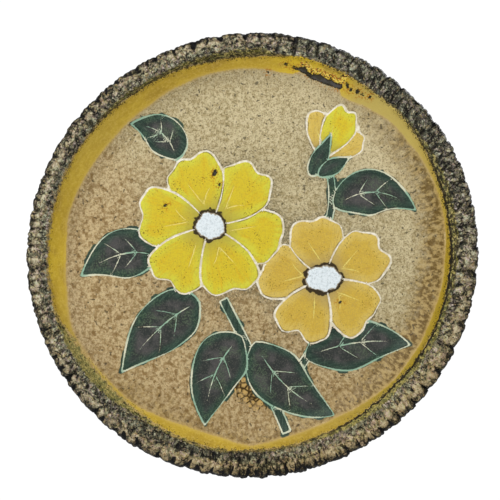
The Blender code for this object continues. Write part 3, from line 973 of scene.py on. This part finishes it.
# The ground
fine = cloud(1.05, 0, 1)
mottle = cloud(2.3, 10, 1.5)
coarse_and_top_light = known("coarse") + (cloud(34, 20) - 0.5) * 0.8
coarse_ground = mixed(fade(mottle, 0.36, 0.6), (154, 129, 88), (190, 168, 126))
coarser = fade(coarse_and_top_light, 0.2, 0.9)
spots = fade(cloud(4.2, 30, 3, 0.65), 0.5, 0.66) * fade(coarse_and_top_light, 0.1, 0.8)
run_down = mixed(fade(swirl(2.5, 40, 2, 0.6, 0.9, 0.6), 0.36, 0.6), (166, 142, 90), (98, 75, 32))
under_here = known("under_band") * ((swirl(7, 41) - 0.5) * 1.6 + 1)
haze = known("between") * fade(cloud(1.3, 50, 2, 0.7), 0.38, 0.58)
pooled = mixed(fade(cells(in_metres, 230), 0.03, 0.24), (62, 46, 20), (184, 152, 92))
ground = layered(
    mixed(fade(mottle, 0.34, 0.62), (162, 147, 108), (192, 179, 142)),
    (fade(coarse_and_top_light, 0.1, 0.9), coarse_ground),
    # Painted light: the ground is laid paler towards the top right, as if more light falls there
    (fade(coarse_and_top_light, 0.1, -0.4) * 0.35, (208, 194, 156)),
    (fade(fine, 0.5, 0.66) * (0.66 - coarser * 0.22), (114, 101, 66)),
    (fade(fine, 0.44, 0.3) * (0.42 - coarser * 0.2), (208, 196, 164)),
    (spots * 0.8, (118, 91, 52)),
    (fade(under_here, 0, 0.85) * 0.95, run_down),
    (haze * 0.85, (84, 80, 62)),
    (fade(known("amber") + (mottle - 0.5) * 1.4, 0.25, 0.6), pooled),
    (fade(cloud(2.4, 60, 0), 0.74, 0.77) * 0.7, (60, 52, 40)))

# The stripe: deep gold where the brush was full, tan along its inner edge, pale where it ran dry
granules = (cloud(0.8, 70, 1) - 0.5) * 1.6
ragged = (cloud(1.4, 71, 2, 0.6) - 0.5) * 1.5
wavering = (swirl(9, 80, 1, along=0.5) - 0.5) * 1.5
band_depth = known("band") + ragged + wavering
in_from_edge = known("from_inner") + ragged + wavering * 1.6
full = swirl(12, 90, 3, 0.55, 0.4)
combed = swirl(2.6, 91, 3, 0.7, 0.4)
gold = layered(
    mixed(fade(full, 0.3, 0.66), (173, 143, 53), (187, 158, 62)),
    (fade(granules, -0.1, -0.35) * 0.25, (146, 124, 46)),
    (fade(combed, 0.4, 0.64) * 0.6, (156, 126, 42)),
    (fade(cloud(1.7, 92, 1), 0.52, 0.62) * 0.42, (200, 172, 88)),
    (fade(in_from_edge, 2.4, 0.4) * (0.75 - known("deep_band") * 0.5), (186, 158, 88)),
    (fade(in_from_edge, -0.5, 1.5) * known("deep_band") * 0.8, (146, 124, 28)),
    (known("pale_band") * 0.8, (190, 172, 98)),
    (known("bright_band") * fade(full, 0.3, 0.5) * 0.9, (212, 180, 44)),
    (known("bright_band") * fade(granules, 0.05, 0.35) * 0.5, (214, 198, 96)))
surface = layered(ground, (fade(band_depth, -2, 0) * 0.6, (184, 156, 96)),
                  (fade(band_depth, -0.15, 0.5), gold))

# The rim's dark glaze is black in the hollows, where it pooled and where shade is painted in, and breaks to
# grey, brown and tan over the lumps. First how high each place stands, of lumps, beads, grit, cracks and
# painted glints of light, then a colour for each height
rim_ragged = granules + (cloud(1.6, 100, 2, 0.6) - 0.5) * 2.2
hooks = (swirl(3.4, 101, 1) - 0.5) * (1.2 - known("spilled")) * 6
rim_depth = known("rim_glaze") + rim_ragged + hooks
clots = swirl(2.5, 110, 2, 0.55, out=0.8) - 0.5
grit = cloud(1.05, 111, 1) - 0.5
clumps = cloud(5, 120) - 0.5
waver = step("TexNoise", {}, "Color", Vector=swept, Scale=0.35, Detail=2)
beads = cells(step("VectorMath", {"operation": "MULTIPLY_ADD"}, i0=waver, i1=(5, 5, 5), i2=swept), 0.19)
rough_here = 1.05 - known("warmth") * 0.75
sunk_here = fade(known("hollow") + clots * 2 + grit, -0.25, 0.2)
height = clots * 1.7 + clumps + (fade(beads, 0, 0.3) - 0.65) * 0.65
height *= 1 - known("calm") - larger(known("patch"), sunk_here) * 0.45
height += grit * (0.8 + fade(cloud(8, 112, 1), 0.42, 0.6) * rough_here * 1.5)
height -= fade(beads, 0.06, 0.02) * fade(cloud(6, 113, 1), 0.44, 0.56) * rough_here * 0.4
height -= fade(swirl(1.9, 114, 1, out=0.5), 0.36, 0.3) * 0.55
# Painted highlights: small pale glints on the rim's glaze, away from the tan patches
height += fade(swirl(1.5, 115, 0), 0.66, 0.72) * (1 - known("patch")) * 0.42
# The dents and wedges go black: glaze pooled in them, and painted shade in the hollows
height += known("relief") * 0.16 + known("tan") + known("patch") * 0.4 - sunk_here * known("pooled_glaze_and_shade")
rim_colour = (5, 4, 1)
for low, high, cool, warm in ((-0.5, -0.38, (42, 39, 29), (38, 34, 20)),
                              (-0.3, -0.2, (62, 60, 51), (62, 55, 37)),
                              (-0.06, 0.04, (92, 90, 79), (101, 91, 68)),
                              (0.12, 0.22, (118, 113, 97), (130, 116, 85)),
                              (0.3, 0.42, (146, 140, 121), (161, 143, 106)),
                              (0.58, 0.76, (194, 190, 170), (192, 176, 138))):
    rim_colour = mixed(fade(height, low, high), rim_colour, mixed(known("warmth"), cool, warm))
hue = layered(
    mixed(fade(cloud(2.6, 130), 0.46, 0.54), (1, 0.92, 1.12, 1), (1, 1, 0.8, 1)),
    (fade(cloud(3.4, 131) + known("calm") * 0.14, 0.54, 0.6), (0.88, 1, 0.96, 1)),
    (known("patch"), (1, 1, 1, 1)))
rim_colour = mixed(0.9, rim_colour, hue, "MULTIPLY")
rusty = fade(cloud(1.9, 132, 1), 0.58, 0.66) * fade(height, -0.1, 0.2)

# The olive strip beside the stripe, and what the rim's glaze did to the stripe's edge
dashes = swirl(1.5, 140, 2, 0.6, 0.45)
olive_light = mixed(known("warmth"), (168, 154, 96), (168, 154, 68))
olive_dark = mixed(fade(known("murk"), 0.1, 0.35), (124, 118, 66), (92, 86, 36))
olive = layered(
    mixed(fade(clots + grit * 0.9, -0.06, 0.06), olive_dark, olive_light),
    (fade(cloud(3, 142), 0.54, 0.6) * 0.7, (92, 98, 60)),
    (fade(dashes + (known("murk") - 0.5) * 0.3, 0.48, 0.53) * 0.92, (34, 30, 10)))
strip_here = known("strip") + rim_ragged + clumps * 4
rim_colour = layered(rim_colour, (rusty * 0.4, (146, 108, 64)), (fade(strip_here, -0.8, 0.8) * 0.9, olive))
in_rim = fade(rim_depth, -0.2, 0.5)
fringe = fade(rim_depth, -1.3, -0.2) * fade(rim_depth, 1.3, 0.3) * (0.68 - known("spilled"))
shore = known("rim_glaze") + hooks * 0.6 + clots * 1.5
shore = fade(shore, -0.5, -0.2) * fade(shore, 1.1, 0.8) * fade(dashes, 0.32, 0.38)
specks = cloud(0.95, 141, 2, 0.6) + fade(rim_depth, -2.4, 0.2) * known("spilled") * 0.24
specks = fade(specks, 0.58, 0.66) * fade(rim_depth, -3, -1.6) * fade(rim_depth, 1, 0.2)
surface = layered(surface, (in_rim, rim_colour), (fringe, (178, 153, 90)),
                  (shore * known("thin_line"), (22, 17, 5)), (specks * 0.92, (42, 36, 14)))

# The petals, leaves and white middles
brushed = known("brush", "Vector")
streaks = step("Mapping", {}, Vector=brushed, Scale=(0.07, 0.7, 1.7))
streaks = step("TexNoise", {}, "Fac", Vector=streaks, Scale=1, Detail=4, Roughness=0.65)
worn = (cloud(11, 160) - 0.5) * 6
up_the_petal = step("SeparateXYZ", {}, Vector=brushed) + worn * 1.2
edge_grain = (cloud(1.3, 150, 2, 0.6) - 0.5) * 1.2
grainy = cloud(0.9, 161, 1)
pinholes = fade(cloud(1, 162, 0) + cloud(9, 163, 1) * 0.5, 1.01, 1.06)


def petal_glaze(name, middle, edge, base, deep):
    """A petal's colour: its middle turning to its edge's colour, streaked along the brush, grained and
    pierced by pinholes, and faded at the base."""
    return layered(
        mixed(fade(known(name) + worn + (streaks - 0.5) * 6, 8.5, 2), middle, edge),
        (fade(streaks, 0.48, 0.7) * 0.6, deep),
        (fade(grainy, 0.48, 0.66) * 0.34, base),
        (fade(grainy, 0.46, 0.32) * 0.35, edge),
        (pinholes * 0.75, (112, 96, 30)),
        (fade(up_the_petal, 25, 9) * 0.8, base))


leaf_in = known("leaf") + worn
leaf_green = layered(
    mixed(fade(streaks, 0.36, 0.64), (38, 54, 47), (58, 76, 66)),
    (fade(grainy, 0.52, 0.68) * 0.36, (88, 108, 88)))
dull = layered(
    mixed(fade(cloud(11, 180, 3, 0.6), 0.42, 0.66), (50, 54, 52), (75, 74, 73)),
    (fade(grainy, 0.52, 0.66) * 0.4, (98, 95, 88)))
moss = fade(cloud(16, 181, 1), 0.52, 0.64) * fade(grainy, 0.44, 0.6)
leaf_glaze = layered(leaf_green, (fade(leaf_in, 1.5, 8), dull), (moss * 0.5, (84, 104, 78)))
lemon_glaze = petal_glaze("lemon", (204, 181, 46), (202, 197, 64), (166, 152, 66), (204, 162, 36))
ochre_glaze = petal_glaze("ochre", (196, 165, 66), (204, 178, 92), (160, 138, 86), (188, 152, 56))
white_glaze = layered(
    mixed(fade(cloud(2, 190, 3, 0.7), 0.44, 0.66), (219, 227, 230), (198, 208, 212)),
    (fade(cloud(1.1, 191, 1), 0.6, 0.68) * 0.5, (150, 156, 154)))
DARK_BROWN = (44, 36, 27)

spill = fade(cloud(14, 201, 1), 0.48, 0.66) * 2.2
leaf_edge = known("leaf") + edge_grain + spill
button_depth = known("button") + edge_grain * 1.5 + (cloud(4.5, 211, 1) - 0.5) * 4
ring_ink = fade(button_depth + (cloud(7, 210) - 0.5) * 6.5, -2.6, -1.9)
surface = layered(
    surface,
    (fade(leaf_edge, -0.55, 0.25), leaf_glaze),
    (fade(known("ochre") + edge_grain, 0.1, 0.9), ochre_glaze),
    (fade(known("lemon") + edge_grain, 0.1, 0.9), lemon_glaze),
    (fade(button_depth, -3.4, -0.8) * 0.5, (132, 112, 72)),
    (ring_ink * 0.95, DARK_BROWN),
    (fade(button_depth, -0.3, 0.1), (150, 138, 116)),
    (fade(button_depth, 0.3, 0.9), white_glaze))

# The scratched lines, with a dark edge here and there
across_line = step("Math", {"operation": "ABSOLUTE"}, i0=known("line_side"))
line_here = larger(across_line - known("line_half"), known("line") - 1.3)
line_here += cloud(1.2, 220, 2, 0.6) - 0.5
line_tone = known("line_tone")
line_white = layered(
    mixed(fade(cloud(3, 230), 0.4, 0.6), (208, 198, 172), (228, 222, 204)),
    (fade(line_tone, 0.3, 0.7), mixed(fade(cloud(18, 231, 1), 0.42, 0.62), (140, 172, 148), (206, 206, 180))),
    (fade(line_tone, -0.3, -0.7), (216, 200, 108)))
dark_edge_here = fade(cloud(13, 200), 0.5, 0.64) * fade(line_tone, -0.6, -0.2)

# The crawled patch, rimmed with blistered orange, and the burnt spots
bare_here = known("bare") + granules + ragged * 1.2
blisters = fade(bare_here, -3.6, -1) * fade(cloud(1.5, 240, 1), 0.54, 0.6)
bubbled = fade(known("blistered"), 0.05, 0.45) * fade(bare_here, 0.3, -0.3)
scorched = mixed(fade(cloud(5, 241), 0.4, 0.6), (62, 60, 52), (80, 77, 76))
surface = layered(
    surface,
    (fade(line_here, 1, 0.2) * dark_edge_here * 0.7, DARK_BROWN),
    (fade(line_here, 0.14, -0.16), line_white),
    (blisters * 0.8, (170, 112, 26)),
    (bubbled * fade(cloud(1.6, 242, 1), 0.42, 0.54), (228, 202, 96)),
    (bubbled * fade(cloud(1.9, 243, 1), 0.54, 0.6), (180, 118, 48)),
    (bubbled * fade(cloud(1.5, 244, 1), 0.57, 0.62), (46, 34, 20)),
    (fade(bare_here, -0.25, 0.15), (44, 39, 28)),
    (fade(bare_here, 0.45, 1.1), scorched))

# The bare clay of the back, washed thinly with iron except where the foot was wiped
clay = layered(
    mixed(fade(cloud(22, 250, 3, 0.6), 0.35, 0.65), (172, 146, 112), (196, 172, 138)),
    (fade(cloud(1.3, 260, 2, 0.6), 0.58, 0.66) * 0.6, (112, 90, 64)),
    (known("foot_rub") * 0.7, (214, 196, 166)))
glazed_here = fade(known("glazed") + (cloud(6, 270, 3, 0.6) - 0.5) * 0.9, 0.35, 0.6)
surface = mixed(glazed_here, clay, surface)

# Gloss: the stripe a little shinier than the satin glazes, the leaves' middles and the crawled patch duller,
# the bare clay dull
roughness = 0.46 - fade(band_depth, 0, 0.5) * 0.1 + fade(leaf_in, 3, 7) * 0.14 + in_rim * 0.02
roughness += fade(bare_here, 0, 0.5) * 0.22 + fine * 0.06
roughness = roughness * glazed_here + (1 - glazed_here) * 0.82

# The touch of it, in millimetres: grit and orange peel on the ground, a rough rim, lines cut in
touch = (fine - 0.5) * 0.1 + (1 - glazed_here) * grit * 0.25
touch += in_rim * glazed_here * (1 - known("patch") * 0.5) * (grit + clots * 1.4)
touch += fade(bare_here, 0, -0.6) * 0.12 - fade(line_here, 0.3, -0.3) * 0.16
bump = step("Bump", {}, Strength=1, Distance=0.001, Height=touch)

shader = step("BsdfPrincipled", {}, Base_Color=surface, Roughness=roughness, Normal=bump,
              Specular_IOR_Level=0.17)
step("OutputMaterial", {}, Surface=shader)
mesh.materials.append(glazes)

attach(plate, "root")
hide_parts("wall_plate")


# The studio
# A plain pale floor well below the plate, a white room with the brightest part behind the plate, and two
# large soft lamps in front of it. The camera looks straight at the plate, as the photograph does.

FLOOR_HALF_WIDTH = 1.6
FLOOR_LEVEL = -0.75
floor = bpy.data.objects.new("studio_floor", bpy.data.meshes.new("studio_floor"))
floor.data.from_pydata([(FLOOR_HALF_WIDTH * x, FLOOR_HALF_WIDTH * y, FLOOR_LEVEL)
                        for x, y in ((-1, -1), (1, -1), (1, 1), (-1, 1))], [], [(0, 1, 2, 3)])
bpy.context.scene.collection.objects.link(floor)
floor_paint = bpy.data.materials.new("pale_floor")
floor_paint.use_nodes = True
floor_paint.node_tree.nodes["Principled BSDF"].inputs["Base Color"].default_value = (0.8, 0.8, 0.79, 1)
floor_paint.node_tree.nodes["Principled BSDF"].inputs["Roughness"].default_value = 0.9
floor.data.materials.append(floor_paint)

room = bpy.data.worlds.new("white_room")
room.use_nodes = True
bpy.context.scene.world = room
white = room.node_tree
toward = step("SeparateXYZ", {}, "Y", white, i0=step("TexCoord", {}, "Generated", white))
brighten = step("MapRange", {"interpolation_type": "SMOOTHSTEP"}, 0, white,
                i0=toward, i1=0.78, i2=0.93, i3=0.18, i4=1.05)
to_camera = step("LightPath", {}, "Is Camera Ray", white)
seen = step("Math", {"operation": "MULTIPLY"}, 0, white, i0=to_camera, i1=1.05)
brightest = step("Math", {"operation": "MAXIMUM"}, 0, white, i0=brighten, i1=seen)
white.links.new(brightest.socket, white.nodes["Background"].inputs["Strength"])
white.nodes["Background"].inputs["Color"].default_value = (1, 1, 1, 1)

LAMP_SIZE = 1.1
for name, place, power in (("left_lamp", (-0.9, -1.2, 0.85), 29.0), ("right_lamp", (1.1, -1.3, 0.35), 10.0),
                           ("back_lamp", (0.9, 1.5, 0.7), 22.0)):
    lamp = bpy.data.lights.new(name, "AREA")
    lamp.size = LAMP_SIZE
    lamp.energy = power
    stand = bpy.data.objects.new(name, lamp)
    stand.location = place
    aim = np.array([0, 0, -PLATE_MIDDLE_BELOW_ORIGIN / 1000]) - place
    stand.rotation_euler = (np.arctan2(np.hypot(aim[0], aim[1]), -aim[2]), 0,
                            np.arctan2(aim[1], aim[0]) - np.pi / 2)
    bpy.context.scene.collection.objects.link(stand)

camera = bpy.data.objects.new("camera", bpy.data.cameras.new("camera"))
camera.data.lens = 85
camera.location = (-0.0018, -0.9135, -0.0934)
camera.rotation_euler = (np.pi / 2, 0, 0)
bpy.context.scene.collection.objects.link(camera)
bpy.context.scene.camera = camera
bpy.context.scene.view_settings.view_transform = "Standard"
